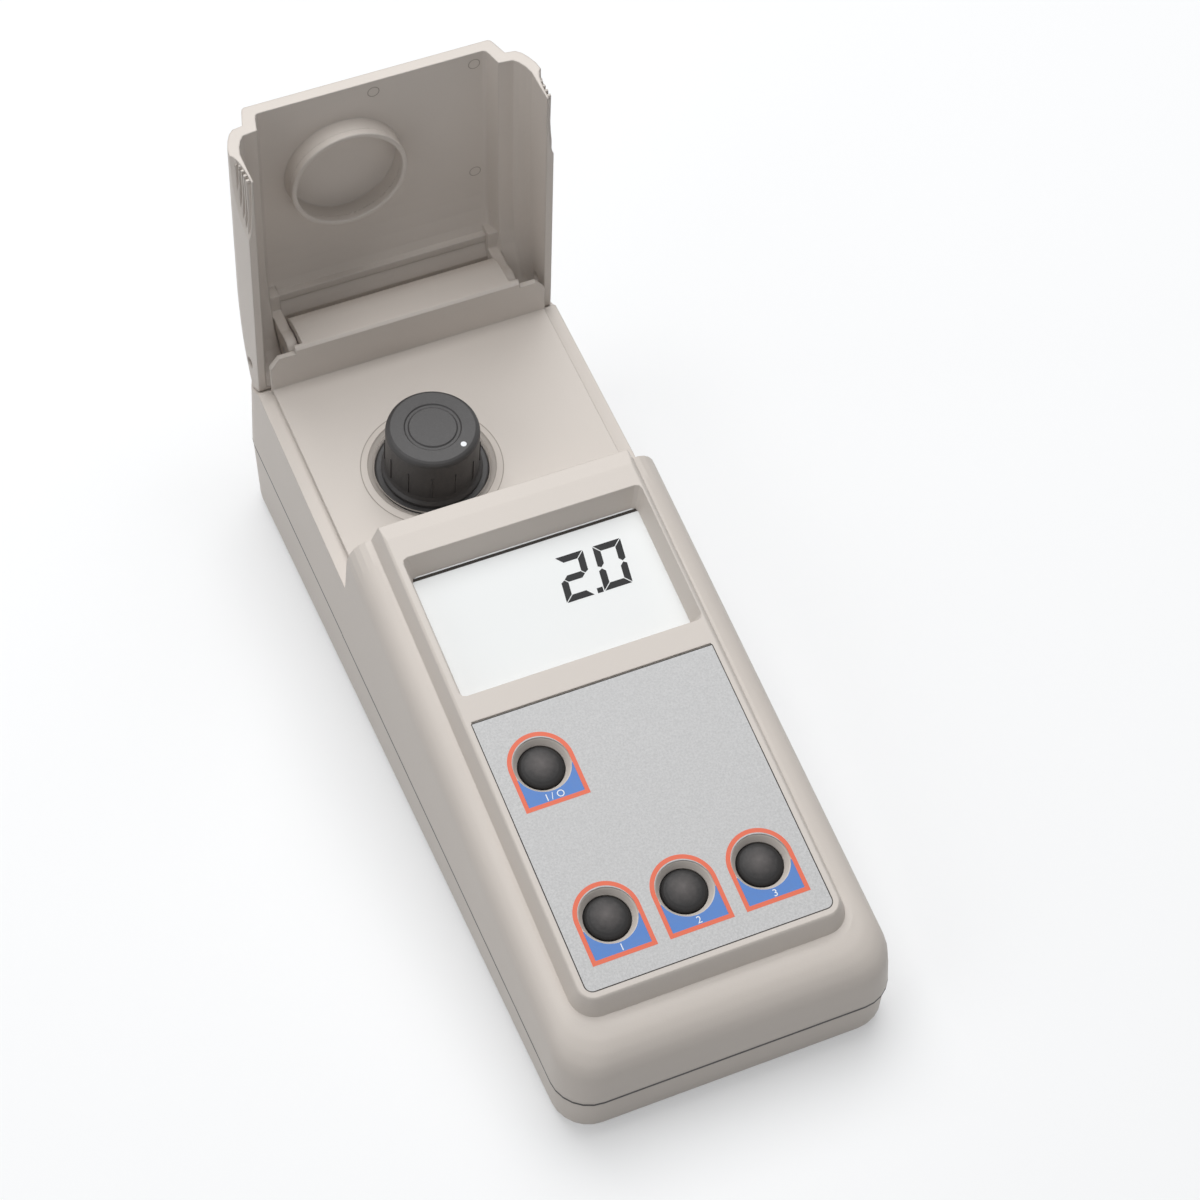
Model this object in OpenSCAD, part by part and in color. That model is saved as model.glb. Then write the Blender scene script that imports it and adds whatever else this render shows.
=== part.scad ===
// Benchtop colorimeter: a wedge-shaped case with a display, four keys, a sample well
// and a hinged cover that keeps light off the sample.
// Millimetres, Z up, the front toward -Y, origin under the middle of the whole with the
// cover open, which reaches behind the case.
// The cover is drawn open, as it rests, and the vial stands in its well.

/* [Case] */
// Width over the parting line
case_width = 85; // [84:0.5:88]
// Length over the parting line
case_length = 220; // [217:0.5:224]
// Wall of the mouldings
wall = 2.5; // [2:0.1:3]
// Height of the rubber feet below the base
foot_height = 1.4; // [1:0.1:2]

/* [Cover] */
// How far the cover opens, in degrees
opening_angle = 93; // [88:1:94]
// Height of the cover above the deck ledges
cover_height = 24; // [23.5:0.25:26]
// Radius of the hinge pins
pin_radius = 1.5; // [1.2:0.1:1.8]

/* [Keys] */
// Radius of the domed keys
key_radius = 5.45; // [5:0.05:6]
// Distance between neighbouring keys in the row
key_pitch = 19.2; // [18.8:0.1:20]
// Travel of a key
key_travel = 0.8; // [0.5:0.1:1]
// Gap round a key
key_gap = 0.3; // [0.2:0.05:0.4]

/* [Sample well] */
// Outer radius of the glass vial
vial_radius = 11; // [10.5:0.1:11.3]
// Height of the vial's cap above the deck
cap_height = 16.5; // [15:0.25:17]
// Gap between the vial and its well
vial_gap = 0.3; // [0.2:0.05:0.5]
// Distance of the well from the centre line
well_offset = 8.3; // [7.5:0.1:9]

/* [Battery] */
// Battery block: width, length and thickness
battery = [26.5, 48.5, 17.5];
// Travel of the battery door before it lifts off
door_travel = 6; // [5:0.5:8]

/* [Hidden] */
$fn = 96;
half_width = case_width / 2;
overhang = 9.9;
front = -(case_length + overhang) / 2;
back = front + case_length;

// Sloping planes of the case, as heights over Y
function z_part(y) = 12.9 + 0.051 * (y - front);
function z_top(y) = 32.3 + 0.219 * (y - front);
upstand_y = back - 15.2;
function z_ledge(y) = 47.2 + 0.107 * (y - upstand_y);
deck_rise = 1.7;
function z_deck(y) = z_ledge(y) + deck_rise;
top_angle = atan(0.219);
deck_angle = atan(0.107);
draft = 0.05;

// Stations along the case
rear_face_y = front + 142.8;
rear_face_z = z_ledge(rear_face_y);
crease_y = front + 136.3;
screen_y = [front + 92.1, front + 130.4];
row_y = front + 31;
power_y = front + 70.2;
keys = [[-key_pitch, power_y], [-key_pitch, row_y], [0, row_y], [key_pitch, row_y]];
overlay_half = half_width - 11.2;
overlay_y = [front + 14.9, front + 85.2];
overlay_thick = 0.3;
key_clear = key_radius + key_gap;
well_rim = key_radius + 1.55;

// Hinge
hinge_y = back - 7.7;
hinge_z = 53.1;
barrel = 8;
pocket = barrel + 0.3;
hinge_half = 28.3;
arm = [hinge_half + 0.3, hinge_half + 3.1];
rim_drop = (hinge_z - z_ledge(hinge_y)) * cos(deck_angle) - 0.15;
open_turn = deck_angle - opening_angle;
cover_end = (hinge_y - rear_face_y) * cos(deck_angle)
  + (hinge_z - rear_face_z) * sin(deck_angle) - 0.45;

// Sample well, along the normal of the deck
well = [-well_offset, (rear_face_y + upstand_y) / 2 - 5.3];
bore = vial_radius + vial_gap;
holder_radius = bore + 3.05;
collar_radius = holder_radius + 0.15;
beam_z = -24;
vial_depth = 36;

// Depths below the sloping top
window_depth = 6;
lens_thick = 1.5;
board_top = -14;
board_thick = 1.6;
plunger_top = -9.9;
switch_gap = 0.05;

// Base
base_z = foot_height;
floor_top = base_z + 3;
battery_y = well[1] - 70.5;
bay_y = [battery_y - 0.6, battery_y + battery[1] + 7];
bay_top = floor_top + battery[2] + 0.6;
door = [battery[0] / 2 + 3, bay_y[0] - 2, bay_y[1] + 2];
door_z = base_z + 0.1;
case_screw = [[half_width - 7.5, front + 24], [half_width - 9.5, back - 26]];
foot_x = half_width - 11.5;
foot_y = [front + 13, back - 13];
board_post = [half_width - 16, front + 20];
board_post_rear = front + 87;
jack_x = 24;
jack_z = 12.5;
sides = [-1, 1];

case_beige = [0.82, 0.79, 0.76];
dark = [0.2, 0.19, 0.19];
steel = [0.72, 0.72, 0.73];
board_green = [0.1, 0.35, 0.2];

// Rounded rectangle from y0 to y1, with a radius at the front and one at the back
function corner(x, y, r, a, n) = [for (i = [0:n])
  [x + r * cos(a + 90 * i / n), y + r * sin(a + 90 * i / n)]];
function outline(h, y0, y1, r0, r1, n = 6) = concat(
  corner(h - r0, y0 + r0, r0, -90, n), corner(h - r1, y1 - r1, r1, 0, n),
  corner(r1 - h, y1 - r1, r1, 90, n), corner(r0 - h, y0 + r0, r0, 180, n));

// The same with square corners at the back, or at the front
function round_front(h, y0, y1, r, n = 6) = concat(
  corner(h - r, y0 + r, r, -90, n), [[h, y1], [-h, y1]], corner(r - h, y0 + r, r, 180, n));
function round_back(h, y0, y1, r, n = 6) = concat(
  [[h, y0]], corner(h - r, y1 - r, r, 0, n), corner(r - h, y1 - r, r, 90, n), [[-h, y0]]);

// Where a plane of the given height and slope meets the console's rear face
function meets_rear(z0, slope, w = 0) = (rear_face_y - w
  - 0.107 * (z0 - slope * front - rear_face_z)) / (1 + 0.107 * slope);

// Rings that lie on the planes of the case
function on_part(pts, d = 0) = [for (p = pts) [p[0], p[1], z_part(p[1]) + d]];
function on_top(pts, d = 0) = [for (p = pts) [p[0], p[1], z_top(p[1]) + d]];
function on_ledge(pts, d = 0) = [for (p = pts) [p[0], p[1], z_ledge(p[1]) + d]];
function flat(pts, z) = [for (p = pts) [p[0], p[1], z]];
function drafted(pts) = [for (p = pts)
  [p[0] * (1 - draft * (p[2] - z_part(p[1])) / half_width), p[1], p[2]]];
function blend(a, b, t) = [for (i = [0:len(a) - 1])
  [a[i][0] + (b[i][0] - a[i][0]) * (1 - cos(t)),
   a[i][1] + (b[i][1] - a[i][1]) * (1 - cos(t)),
   a[i][2] + (b[i][2] - a[i][2]) * sin(t)]];

// Solid through a stack of rings with the same number of points
module loft(rings) {
  n = len(rings[0]);
  m = len(rings);
  polyhedron(
    points = [for (r = rings) for (p = r) p],
    faces = concat(
      [[for (i = [0:n - 1]) i]],
      [for (j = [0:m - 2]) for (i = [0:n - 1])
        [j * n + i, (j + 1) * n + i, (j + 1) * n + (i + 1) % n]],
      [for (j = [0:m - 2]) for (i = [0:n - 1])
        [j * n + i, (j + 1) * n + (i + 1) % n, j * n + (i + 1) % n]],
      [[for (i = [n - 1:-1:0]) (m - 1) * n + i]]));
}

// Frames: on the sloping top, on the deck over the well, and on the cover
module on_console(x, y) {
  translate([x, y, z_top(y)]) rotate([top_angle, 0, 0]) children();
}
module on_well() {
  translate([well[0], well[1], z_deck(well[1])]) rotate([deck_angle, 0, 0]) children();
}
module on_cover() {
  translate([0, hinge_y, hinge_z]) rotate([open_turn, 0, 0]) children();
}
module along_x(x0, x1, y, z, r) {
  translate([x0, y, z]) rotate([0, 90, 0]) cylinder(h = x1 - x0, r = r);
}
module block(a, b) {
  translate(a) cube([b[0] - a[0], b[1] - a[1], b[2] - a[2]]);
}

// Ring of the console, a depth d above or below the sloping top
function top_ring(h, y0, r, d, w, n) =
  on_top(round_front(h, y0, meets_rear(32.3 + d, 0.219, w), r, n), d);

// Console: drafted sides, an elliptical shoulder and the raised plateau
module console_form(w = 0) {
  n = w > 0 ? 2 : 6;
  hip = half_width - w;
  drop = 12.5 + w * 0.5;
  lip = w > 0 ? 0.3 : 0;
  low = drafted(top_ring(hip, front + 0.5 + w, 9.5 - w, -drop, w, n));
  foot = top_ring(half_width - 8 - w, front + 12 + w, 10 - w, -5 - w, w, n);
  base = w > 0 ? -2 : 0;
  loft(concat(
    [on_part(round_front(hip, front + w, meets_rear(12.9 + base, 0.051, w), 9.5 - w, n), base)],
    [for (t = [0:w > 0 ? 30 : 15:90]) blend(low, foot, t)],
    [top_ring(half_width - 9.6 - w + lip, front + 13.3 + w, 8.6 - w, -1 - w, w, n)],
    w > 0 ? [] : [top_ring(half_width - 9.85, front + 13.6, 8.3, -0.4, w, n)],
    [top_ring(half_width - 10.4 - w + lip, front + 14.2 + w, 7.8 - w, -w, w, n)]));
}

module rear_form() {
  loft([on_part(round_back(half_width - 0.05, rear_face_y - 28, back, 9.5)),
    drafted(on_ledge(round_back(half_width - 0.05, rear_face_y - 28, back - 0.8, 9.5)))]);
}

module rear_cavity() {
  loft([on_part(round_back(half_width - wall - 0.4, rear_face_y - 28, back - wall, 7, 2), -3),
    on_ledge(round_back(half_width - wall - 1.6, rear_face_y - 28, back - wall - 1, 7, 2),
      deck_rise - wall - 0.2)]);
}

module deck_form() {
  long = (upstand_y + 1.6 - rear_face_y + 20) / cos(deck_angle);
  translate([0, rear_face_y - 20, z_deck(rear_face_y - 20)]) rotate([deck_angle, 0, 0])
    block([5 - half_width, 0, -4], [half_width - 5, long, 0]);
}

// Hinge block across the back, with the low wall in front of it
module hinge_form() {
  arc = [for (t = [90:-9:0]) [hinge_y + barrel * cos(t), hinge_z + barrel * sin(t)]];
  translate([-hinge_half, 0, 0]) rotate([90, 0, 90]) linear_extrude(hinge_half * 2)
    polygon(concat([[hinge_y + barrel - 0.6, 38], [upstand_y, 38],
      [upstand_y, hinge_z + barrel - 0.7], [upstand_y + 0.7, hinge_z + barrel]], arc));
  front_half = hinge_half + 2.3;
  translate([-front_half, 0, 0]) rotate([90, 0, 90]) linear_extrude(2 * front_half)
    polygon([[upstand_y, 40], [upstand_y, hinge_z + barrel - 0.7],
      [upstand_y + 0.7, hinge_z + barrel], [upstand_y + 1.5, hinge_z + barrel],
      [upstand_y + 1.5, 40]]);
  w = half_width - 4.9;
  translate([0, upstand_y + 1.5, 0]) rotate([90, 0, 0]) linear_extrude(1.5)
    polygon([[-w, 42], [w, 42], [w, hinge_z + 3.2], [w - 2.4, hinge_z + 6.2],
      [2.4 - w, hinge_z + 6.2], [-w, hinge_z + 3.2]]);
}

// Rounded pockets that the cover's cheeks turn in
module pockets() {
  along_x(-half_width - 3, -hinge_half, hinge_y, hinge_z, pocket);
  along_x(hinge_half, half_width + 3, hinge_y, hinge_z, pocket);
  for (x = [-hinge_half - 5.8, hinge_half])
    block([x, hinge_y + 4.6, hinge_z - 7], [x + 5.8, hinge_y + 7.1, hinge_z]);
}

module screen_window() {
  middle = (screen_y[0] + screen_y[1]) / 2;
  long = (screen_y[1] - screen_y[0]) / 2;
  wide = half_width - 11.3;
  translate([0.6, 0, 0]) loft([for (w = [[-window_depth - 0.5, 1.73], [1, -0.27]])
    on_top(outline(wide - w[1], middle - long + w[1], middle + long - w[1], 1.4, 1.4, 2), w[0])]);
}

// Frame of the window, down to the lens
module screen_frame() {
  on_screen() slab(2 * half_width - 20.8, screen_y[1] - screen_y[0] + 3.4, lens_z, 0.5 - wall);
}

// Flat plate on the sloping top with two rounded corners at the front
module top_plate(h, y0, y1, r, z0, z1) {
  long = (y1 - y0) / cos(top_angle);
  on_console(0, y0) {
    block([-h, r, z0], [h, long, z1]);
    block([r - h, 0, z0], [h - r, r + 1, z1]);
    for (x = [r - h, h - r]) translate([x, r, z0]) cylinder(h = z1 - z0, r = r);
  }
}

module key_well(k) {
  on_console(k[0], k[1]) {
    translate([0, 0, -1.9]) cylinder(h = 2.5, r1 = key_clear + 0.1, r2 = well_rim + 0.45);
    translate([0, 0, -wall - 2]) cylinder(h = wall + 3, r = key_clear);
  }
}

module upper_shell() {
  color(case_beige) difference() {
    union() {
      difference() {
        union() {
          console_form();
          rear_form();
          deck_form();
        }
        pockets();
      }
      hinge_form();
      on_well() cylinder(h = 0.5, r1 = collar_radius + 3.4, r2 = collar_radius + 1.8);
    }
    difference() {
      union() {
        console_form(wall);
        rear_cavity();
      }
      block([-50, upstand_y - 1.5, hinge_z - pocket - wall], [50, back + 1, 90]);
      screen_frame();
      for (s = sides) {
        for (p = case_screw) translate([s * p[0], p[1], z_part(p[1])]) cylinder(h = 60, r = 3.3);
        on_console(s * board_post[0], board_post[1]) translate([0, 0, board_top])
          cylinder(h = 20, r = 2.8);
        on_console(s * board_post[0], board_post_rear) translate([0, 0, board_top])
          cylinder(h = 20, r = 2.8);
      }
      for (x = sides, y = sides) on_well() translate([x * 15, y * 13, -9])
        cylinder(h = 20, r = 2.8);
    }
    screen_window();
    for (k = keys) key_well(k);
    top_plate(overlay_half + 0.3, overlay_y[0] - 0.3, overlay_y[1] + 0.3, 6.3, -0.4, 2);
    translate([-60, crease_y, z_top(crease_y)]) rotate([5, 0, 0])
      translate([0, -10, 0]) cube([120, 40, 20]);
    on_well() {
      translate([0, 0, -8]) cylinder(h = 12, r = collar_radius);
      translate([0, 0, -0.9]) cylinder(h = 1.8, r1 = collar_radius + 0.02, r2 = collar_radius + 2.3);
      for (x = sides, y = sides) translate([x * 15, y * 13, -10]) cylinder(h = 5.5, r = 1.1);
    }
    along_x(-arm[1] - 0.6, -22, hinge_y, hinge_z, pin_radius);
    along_x(22, arm[1] + 0.6, hinge_y, hinge_z, pin_radius);
    for (s = sides) {
      for (p = case_screw) translate([s * p[0], p[1], z_part(p[1]) - 1]) cylinder(h = 8, r = 1.3);
      on_console(s * board_post[0], board_post[1]) translate([0, 0, board_top - 1])
        cylinder(h = 7, r = 1);
      on_console(s * board_post[0], board_post_rear) translate([0, 0, board_top - 1])
        cylinder(h = 7, r = 1);
    }
  }
}

// Cover: a half section that is swept from the hinge to the free end
cover_half = half_width - 2.1;
side_pts = [[0, 0], [0.5, 10], [0.2, 12.4], [-0.7, 14.8], [-1.8, 16.8], [-3.1, 18],
  [-5.7, 18.4], [-7.1, 22.7], [-7.5, 23.6], [-8.2, 24]];
inner_pts = [[-2, -2], [-2.1, 9.6], [-2.7, 11.9], [-3.7, 13.9], [-4.8, 15.2],
  [-8.6, 15.6], [-9.6, 19.6], [-10, 20.5], [-10.7, 20.9]];
function both(pts) = concat(pts, [for (i = [len(pts) - 1:-1:0]) [-pts[i][0], pts[i][1]]]);
function widened(pts) = both([for (p = pts) [cover_half + p[0], p[1]]]);
rise = cover_height / 24;
function slim(s) = 1 - 0.016 * max(0, s) / 70;
function station(pts, s, k) = [for (p = pts)
  [p[0] * slim(s), -s, (p[1] < 0 ? p[1] : p[1] * k) - rim_drop]];
module cover_outer() {
  loft(concat([for (a = [0:9:90]) station(widened(side_pts), 24 - 32 * cos(a),
      (5 + (cover_height - 5) * sin(a)) / 24)],
    [station(widened(side_pts), cover_end, rise)]));
}
module cover_inner() {
  loft(concat([for (a = [0:9:90]) station(widened(inner_pts), 24 - 29.2 * cos(a),
      (3.5 + (20.9 * rise - 3.5) * sin(a)) / 20.9)],
    [station(widened(inner_pts), cover_end + 2, rise)]));
}

// Where the well's axis passes through the closed cover
cover_dy = well[1] - hinge_y;
cover_dz = z_deck(well[1]) - hinge_z;
shield_u = cover_dy * cos(deck_angle) + cover_dz * sin(deck_angle);

module scoop(grow = 0) {
  for (s = sides) translate([s * (cover_half - 0.1), -cover_end, -rim_drop])
    scale([2.1 + grow, 20, 10]) sphere(r = 1, $fn = 32);
}

module lid() {
  color(case_beige) on_cover() difference() {
    union() {
      difference() {
        cover_outer();
        cover_inner();
        scoop();
        block([-arm[0], -8, -20], [arm[0], 20, 14.8 * rise - rim_drop]);
      }
      // Ring that shades the cap
      difference() {
        translate([well[0], shield_u, 17 * rise - rim_drop]) cylinder(h = 5, r = 15.3);
        translate([well[0], shield_u, 10]) cylinder(h = 20.9 * rise - rim_drop - 10, r = 14);
      }
      // Hinge arms
      intersection() {
        union() for (s = sides) {
          x0 = s > 0 ? arm[0] : -arm[1];
          along_x(x0, x0 + arm[1] - arm[0], 0, 0, 5.5);
          block([x0, -4.8, 0], [x0 + arm[1] - arm[0], barrel, 16]);
          block([x0, -10, 10], [x0 + arm[1] - arm[0], barrel, 20]);
        }
        cover_outer();
      }
      // Grip ribs in the scoops
      for (s = sides, i = [0:4]) {
        h = 1 + i * 1.7;
        long = 20 * sqrt(1 - h * h / 100) - 1.5;
        x0 = s > 0 ? cover_half - 2.4 : 1.2 - cover_half;
        block([x0, -cover_end + 0.3, h - rim_drop], [x0 + 1.2, long - cover_end, h + 0.7 - rim_drop]);
      }
    }
    // Round the cheeks about the hinge
    difference() {
      block([-60, 0, -12], [60, 12, 0]);
      along_x(-61, 61, 0, 0, barrel);
    }
    along_x(-60, 60, 0, 0, pin_radius + 0.05);
  }
}

module hinge_pins() {
  color(steel) for (x = [-arm[1], 23]) along_x(x, x + arm[1] - 23, hinge_y, hinge_z, pin_radius);
}

module keypad_overlay() {
  color([0.72, 0.72, 0.72]) difference() {
    top_plate(overlay_half, overlay_y[0], overlay_y[1], 6, -0.4, overlay_thick - 0.4);
    for (k = keys) on_console(k[0], k[1]) translate([0, 0, -2]) cylinder(h = 4, r = well_rim);
  }
}

// Domed key with a flange under the case and a stem over its switch
module button(k) {
  top = key_radius;
  color(dark) on_console(k[0], k[1]) rotate_extrude() polygon([
    [0, plunger_top + key_travel + switch_gap], [2, plunger_top + key_travel + switch_gap],
    [2, -wall - 1.2], [key_clear + 1.2, -wall - 1.2], [key_clear + 1.2, -wall - 0.05],
    [top, -wall - 0.05], [top, -1.9], [top - 0.15, -1.5], [top - 0.6, -1.15], [top * 0.75, -0.85],
    [top * 0.5, -0.6], [top * 0.25, -0.46], [0, -0.4]]);
}
module power_button() { button(keys[0]); }
module left_button() { button(keys[1]); }
module middle_button() { button(keys[2]); }
module right_button() { button(keys[3]); }

module key_switches() {
  color(dark) for (k = keys) on_console(k[0], k[1]) {
    translate([-3, -3, board_top]) cube([6, 6, 3.4]);
    translate([0, 0, board_top + 3]) cylinder(h = plunger_top - board_top - 3, r = 1.7);
  }
}

module on_screen() {
  on_console(0.6, (screen_y[0] + screen_y[1]) / 2) children();
}
module slab(x, y, z0, z1) {
  translate([-x / 2, -y / 2, z0]) cube([x, y, z1 - z0]);
}
screen_wide = 2 * (half_width - 12);
screen_long = screen_y[1] - screen_y[0] - 0.6;
lens_z = -window_depth * cos(top_angle);

module lcd_lens() {
  color([0.9, 0.92, 0.92, 0.4]) on_screen()
    slab(screen_wide, screen_long, lens_z - lens_thick, lens_z);
}
module lcd_panel() {
  color([0.85, 0.87, 0.86]) on_screen()
    slab(screen_wide - 4, screen_long - 2.6, lens_z - lens_thick - 2.8, lens_z - lens_thick - 0.2);
}
module lcd_bezel() {
  color(dark) on_screen() difference() {
    slab(screen_wide - 0.4, screen_long - 0.2, board_top, lens_z - lens_thick);
    slab(screen_wide - 3.6, screen_long - 2.2, lens_z - lens_thick - 2.8, 0);
    slab(screen_wide - 8, screen_long - 8, board_top - 1, 0);
  }
}

module main_board() {
  mid = (front + 15 + rear_face_y - 6) / 2;
  color(board_green) on_console(0, mid) difference() {
    translate([0, 0, board_top - board_thick])
      slab(2 * (half_width - 12.6), (rear_face_y - front - 23) / cos(top_angle), 0, board_thick);
    for (s = sides, y = [board_post[1], board_post_rear])
      translate([s * board_post[0], (y - mid) / cos(top_angle), board_top - 3])
        cylinder(h = 6, r = 1.5);
  }
}

module screw(r, head_r, long, head = 1.8) {
  translate([0, 0, -head]) cylinder(h = head, r = head_r);
  translate([0, 0, -0.01]) cylinder(h = long, r = r);
}
module board_screws() {
  color(steel) for (s = sides, y = [board_post[1], board_post_rear])
    on_console(s * board_post[0], y) translate([0, 0, board_top - board_thick])
      screw(1, 2.3, 7);
}

// Well for the vial, with the light path across it
module cell_holder() {
  color(dark) on_well() difference() {
    union() {
      rotate_extrude() polygon([[0, -vial_depth - 3], [holder_radius - 0.8, -vial_depth - 3],
        [holder_radius - 0.8, -11.5], [holder_radius, -11.5], [holder_radius, -0.8],
        [holder_radius - 0.4, -0.5], [0, -0.5]]);
      translate([-20, -16.5, -11.5]) cube([40, 33, 2.5]);
      translate([-holder_radius - 4, -7, beam_z - 7]) cube([2 * holder_radius + 8, 14, 14]);
    }
    translate([0, 0, -vial_depth - 0.3]) cylinder(h = 60, r = bore);
    for (x = sides, y = sides) translate([x * 15, y * 13, -13]) cylinder(h = 6, r = 1.4);
    translate([-40, 0, beam_z]) rotate([0, 90, 0]) cylinder(h = 80, r = 2.65);
    translate([-holder_radius - 5, 0, beam_z]) rotate([0, 90, 0]) cylinder(h = 5, r = 5.3);
    translate([holder_radius + 2.55, 0, beam_z]) rotate([0, 90, 0]) cylinder(h = 4, r = 3.05);
  }
}
module holder_screws() {
  color(steel) on_well() for (x = sides, y = sides) translate([x * 15, y * 13, -11.5])
    screw(1.1, 2.2, 6.5, 1.6);
}
module cuvette() {
  color([0.85, 0.9, 0.9, 0.5]) on_well() rotate_extrude() polygon([
    [0, -vial_depth], [vial_radius - 1, -vial_depth], [vial_radius, -vial_depth + 1],
    [vial_radius, -3], [8.6, -0.6], [8.6, 10], [7.3, 10], [7.3, -1],
    [vial_radius - 1.3, -4], [vial_radius - 1.3, 1.5 - vial_depth], [0, 1.5 - vial_depth]]);
}
module cuvette_cap() {
  color(dark) on_well() rotate_extrude() polygon([
    [8.9, -0.5], [12.8, -0.5], [12.8, 0.5], [12.1, 1.4], [11.8, 2.6], [11.8, cap_height - 1.6],
    [11.6, cap_height - 0.9], [11.2, cap_height - 0.35], [10.6, cap_height], [7.2, cap_height],
    [6.9, cap_height - 0.35], [6.2, cap_height - 0.35], [5.9, cap_height], [0, cap_height],
    [0, 10.2], [8.9, 10.2]]);
}

module on_beam(x, way) {
  on_well() translate([x, 0, beam_z]) rotate([0, 90 * way, 0]) children();
}
module lamp() {
  color([0.9, 0.9, 0.8]) on_beam(holder_radius + 2.6, -1) {
    cylinder(h = 4, r = 2.5);
    translate([0, 0, -1.4]) cylinder(h = 1.4, r = 2.9);
    for (y = sides) translate([0, y * 1.27, -4.6]) cylinder(h = 3.4, r = 0.3);
  }
}
module lamp_board() {
  color(board_green) on_well() translate([holder_radius + 4, 0, beam_z]) difference() {
    translate([0, -8, -8]) cube([1.6, 16, 16]);
    for (y = sides) translate([-1, y * 1.27, 0]) rotate([0, 90, 0]) cylinder(h = 4, r = 0.4);
  }
}
module light_filter() {
  color([0.3, 0.3, 0.6]) on_beam(-holder_radius - 0.1, -1) translate([0, 0, -0.1])
    cylinder(h = 1.8, r = 5.2);
}
module photocell() {
  color(steel) on_beam(-holder_radius - 4, 1) {
    cylinder(h = 0.8, r = 5.1);
    cylinder(h = 2, r = 4.1);
  }
}
module sensor_board() {
  color(board_green) on_well() translate([-holder_radius - 5.6, -8, beam_z - 8])
    cube([1.6, 16, 16]);
}

module battery() {
  color([0.25, 0.27, 0.3]) {
    translate([-battery[0] / 2, battery_y, floor_top]) cube(battery);
    for (s = sides) translate([s * 6.35, battery_y + battery[1], floor_top + battery[2] / 2])
      rotate([-90, 0, 0]) cylinder(h = 1.8, r = 2.9);
  }
}
module battery_snap() {
  y = battery_y + battery[1];
  color(dark) difference() {
    block([-12, y + 0.3, floor_top + 3], [12, y + 5, floor_top + battery[2] - 3]);
    for (s = sides) translate([s * 6.35, y - 1, floor_top + battery[2] / 2])
      rotate([-90, 0, 0]) cylinder(h = 3.1, r = 2.9);
  }
}

// Two wires from the snap, over the roof of the bay and up to the board
module wire(pts) {
  for (i = [0:len(pts) - 2]) {
    d = pts[i + 1] - pts[i];
    translate(pts[i]) sphere(r = 0.7, $fn = 16);
    translate(pts[i]) rotate([0, acos(d[2] / norm(d)), atan2(d[1], d[0])])
      cylinder(h = norm(d), r = 0.7, $fn = 16);
  }
}
module battery_leads() {
  y = battery_y + battery[1] + 4.6;
  color([0.6, 0.1, 0.1]) for (x = [-7, 7])
    wire([[x, y, floor_top + battery[2] - 2.31], [x, y, bay_top + 5], [x, y - 20, bay_top + 9],
      [x, y - 30, z_top(y - 30) - (-board_top + board_thick) / cos(top_angle) - 0.4]]);
}

module battery_door() {
  color([0.8, 0.77, 0.74]) difference() {
    union() {
      block([-door[0], door[1], door_z + 1], [door[0], door[2], door_z + 2]);
      block([-door[0] + 1.5, door[1], door_z], [door[0] - 1.5, door[2], door_z + 1.2]);
    }
    for (i = [0:3]) block([-8, door[1] + 5 + i * 2.4, door_z - 1],
      [8, door[1] + 6.2 + i * 2.4, door_z + 0.5]);
  }
}

module lower_form(w = 0) {
  h = half_width - 0.2;
  if (w == 0) loft([
    flat(outline(h - 2, front + 2.4, back - 2.2, 8, 8), base_z),
    flat(outline(h - 1, front + 1.5, back - 1.2, 8.6, 8.6), base_z + 0.5),
    flat(outline(h - 0.5, front + 1.1, back - 0.7, 9, 9), base_z + 1.6),
    on_part(outline(h, front + 0.6, back - 0.2, 9.4, 9.4))]);
  else loft([
    flat(outline(h - 0.8 - w, front + 1.2 + w, back - 1 - w, 7, 7), floor_top),
    on_part(outline(h - w, front + 0.8 + w, back - 0.4 - w, 7, 7), 1)]);
}

module lower_shell() {
  color(case_beige) difference() {
    union() {
      difference() {
        lower_form();
        difference() {
          lower_form(wall);
          for (s = sides, p = case_screw) translate([s * p[0], p[1], 0])
            cylinder(h = 60, r = 3.3);
          block([-door[0], door[1] - 1, 0], [door[0], door[2] + 1, z_part(battery_y) - 1]);
          block([jack_x - 6.5, back - 15, 0], [jack_x + 6.5, back, jack_z - 5.6]);
        }
      }
      // Roof and walls of the battery bay above the parting line
      block([-door[0], door[1] - 1, floor_top + 1], [door[0], door[2] + 1, bay_top + 1.5]);
    }
    block([-battery[0] / 2 - 0.4, bay_y[0], -1], [battery[0] / 2 + 0.4, bay_y[1], bay_top]);
    // Groove and opening that the door slides in
    block([-door[0] - 0.2, door[1] - 0.2, door_z + 0.9],
      [door[0] + 0.2, door[2] + door_travel + 0.3, door_z + 2.1]);
    block([-door[0] + 1.3, door[1] - 0.2, -1],
      [door[0] - 1.3, door[2] + door_travel + 0.3, door_z + 1.5]);
    for (x = [-7, 7]) translate([x, battery_y + battery[1] + 4.6, bay_top - 1])
      cylinder(h = 4, r = 1);
    for (s = sides) {
      for (p = case_screw) translate([s * p[0], p[1], -1]) {
        cylinder(h = 40, r = 1.6);
        cylinder(h = base_z + 7, r = 2.8);
      }
      for (y = foot_y) translate([s * foot_x, y, -1])
        cylinder(h = base_z + 1.6, r = 6.1);
    }
    block([jack_x - 5.1, back - 15, jack_z - 5.6], [jack_x + 5.1, back - wall - 0.2, jack_z + 20]);
    translate([jack_x, back - 10, jack_z]) rotate([-90, 0, 0]) cylinder(h = 20, r = 4.2);
    // Openings above the parting line stay clear
    on_well() translate([0, 0, -vial_depth - 4]) cylinder(h = 10, r = 15.3);
  }
}

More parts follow.
